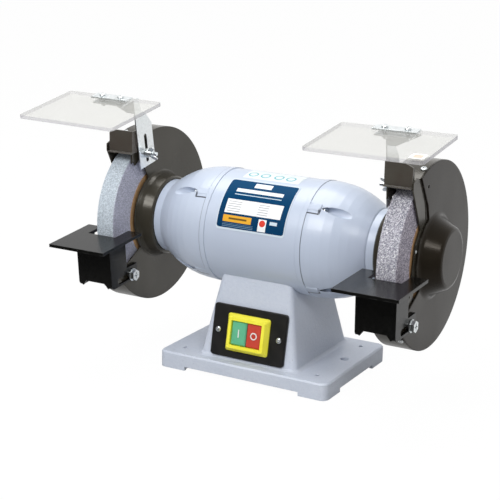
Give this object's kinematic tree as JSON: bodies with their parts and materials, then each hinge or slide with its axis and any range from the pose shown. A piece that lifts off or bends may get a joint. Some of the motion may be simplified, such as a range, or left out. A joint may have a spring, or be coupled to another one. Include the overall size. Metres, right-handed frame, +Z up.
{
  "type": "bench grinder",
  "caption": "Double-ended bench grinder: motor on a cast pedestal base, two guarded grinding wheels with tool rests, clear eye shields and push-button switch.",
  "frame": {"origin": "centre of the base on the bench plane", "axes": "+X along the spindle to the operator's right, -Y towards the operator, +Z up"},
  "size_m": [0.5276, 0.2941, 0.343],
  "materials": {
    "base_paint": "gloss",
    "guard_black": "semi-gloss",
    "zinc": "bright zinc",
    "steel": "ground",
    "lamination": "satin",
    "copper": "lacquered",
    "rubber": "matt",
    "wheel_left": "gritty",
    "wheel_right": "gritty",
    "card": "matt",
    "clear": "clear",
    "switch_black": "satin",
    "switch_yellow": "gloss",
    "start_green": "gloss",
    "stop_red": "gloss",
    "label": "gloss",
    "can": "satin"
  },
  "bodies": {
    "machine": {"base": "base_paint", "bottom_cover": "zinc", "cover_screws": "zinc", "stator_housing": "base_paint", "left_bell": "base_paint", "right_bell": "base_paint", "bell_bolts": "zinc", "stator_core": "lamination", "windings": "copper", "outer_races": "steel", "bearing_balls": "steel", "capacitor": "can", "capacitor_clip": "zinc", "cable_gland": "rubber", "nameplate": "label", "switch_plate": "switch_black", "switch_frame": "switch_yellow", "switch_body": "switch_black", "switch_screws": "zinc", "left_guard": "guard_black", "right_guard": "guard_black", "left_guard_cover": "guard_black", "right_guard_cover": "guard_black", "left_guard_screws": "zinc", "right_guard_screws": "zinc"},
    "rotor": {"shaft": "steel", "rotor_core": "lamination", "inner_races": "steel", "spacers": "steel", "left_wheel": "wheel_left", "right_wheel": "wheel_right", "left_blotters": "card", "right_blotters": "card", "left_inner_flange": "guard_black", "right_inner_flange": "guard_black", "left_outer_flange": "guard_black", "right_outer_flange": "guard_black", "left_nut": "zinc", "right_nut": "zinc"},
    "start_button": {"start_button": "start_green"},
    "stop_button": {"stop_button": "stop_red"},
    "left_arrester": {"left_arrester": "guard_black", "left_arrester_nut": "zinc"},
    "left_rest_bolt": {"left_rest_bolt": "zinc"},
    "left_rest": {"left_tool_rest": "guard_black"},
    "left_shield_bolt": {"left_shield_bolt": "zinc"},
    "left_shield": {"left_shield_bracket": "zinc", "left_shield": "clear", "left_clamp_strip": "zinc", "left_clamp_screws": "zinc"},
    "right_arrester": {"right_arrester": "guard_black", "right_arrester_nut": "zinc"},
    "right_rest_bolt": {"right_rest_bolt": "zinc"},
    "right_rest": {"right_tool_rest": "guard_black"},
    "right_shield_bolt": {"right_shield_bolt": "zinc"},
    "right_shield": {"right_shield_bracket": "zinc", "right_shield": "clear", "right_clamp_strip": "zinc", "right_clamp_screws": "zinc"}
  },
  "joints": [
    {"name": "spindle_spin", "type": "hinge", "parent": "machine", "child": "rotor", "pos_m": [0, 0, 0.1765], "axis": [1, 0, 0], "continuous": true},
    {"name": "start_button_press", "type": "slide", "parent": "machine", "child": "start_button", "axis": [0, 0.9825, -0.1863], "range_m": [0, 0.003], "stiffness_N_per_m": 600, "springref_m": -0.002},
    {"name": "stop_button_press", "type": "slide", "parent": "machine", "child": "stop_button", "axis": [0, 0.9825, -0.1863], "range_m": [0, 0.003], "stiffness_N_per_m": 600, "springref_m": -0.002},
    {"name": "left_arrester_slide", "type": "slide", "parent": "machine", "child": "left_arrester", "axis": [0, 0, 1], "range_m": [-0.002, 0.006]},
    {"name": "left_rest_tilt", "type": "hinge", "parent": "machine", "child": "left_rest_bolt", "pos_m": [-0.194, -0.072, 0.1095], "axis": [1, 0, 0], "range_deg": [-4, 4]},
    {"name": "left_rest_slide", "type": "slide", "parent": "left_rest_bolt", "child": "left_rest", "axis": [0, 0.9954, 0.0958], "range_m": [-0.0005, 0.004]},
    {"name": "left_shield_tilt", "type": "hinge", "parent": "machine", "child": "left_shield_bolt", "pos_m": [-0.1714, -0.0385, 0.264], "axis": [1, 0, 0], "range_deg": [-10, 25]},
    {"name": "left_shield_lift", "type": "slide", "parent": "left_shield_bolt", "child": "left_shield", "axis": [0, -0.1822, 0.9833], "range_m": [-0.008, 0.008]},
    {"name": "right_arrester_slide", "type": "slide", "parent": "machine", "child": "right_arrester", "axis": [0, 0, 1], "range_m": [-0.006, 0.002]},
    {"name": "right_rest_tilt", "type": "hinge", "parent": "machine", "child": "right_rest_bolt", "pos_m": [0.194, -0.072, 0.1095], "axis": [1, 0, 0], "range_deg": [-1, 8]},
    {"name": "right_rest_slide", "type": "slide", "parent": "right_rest_bolt", "child": "right_rest", "axis": [0, 0.9994, 0.0349], "range_m": [-0.002, 0.0012]},
    {"name": "right_shield_tilt", "type": "hinge", "parent": "machine", "child": "right_shield_bolt", "pos_m": [0.1714, -0.0385, 0.264], "axis": [1, 0, 0], "range_deg": [-10, 25]},
    {"name": "right_shield_lift", "type": "slide", "parent": "right_shield_bolt", "child": "right_shield", "axis": [0, -0.1305, 0.9914], "range_m": [-0.008, 0.008]}
  ]
}
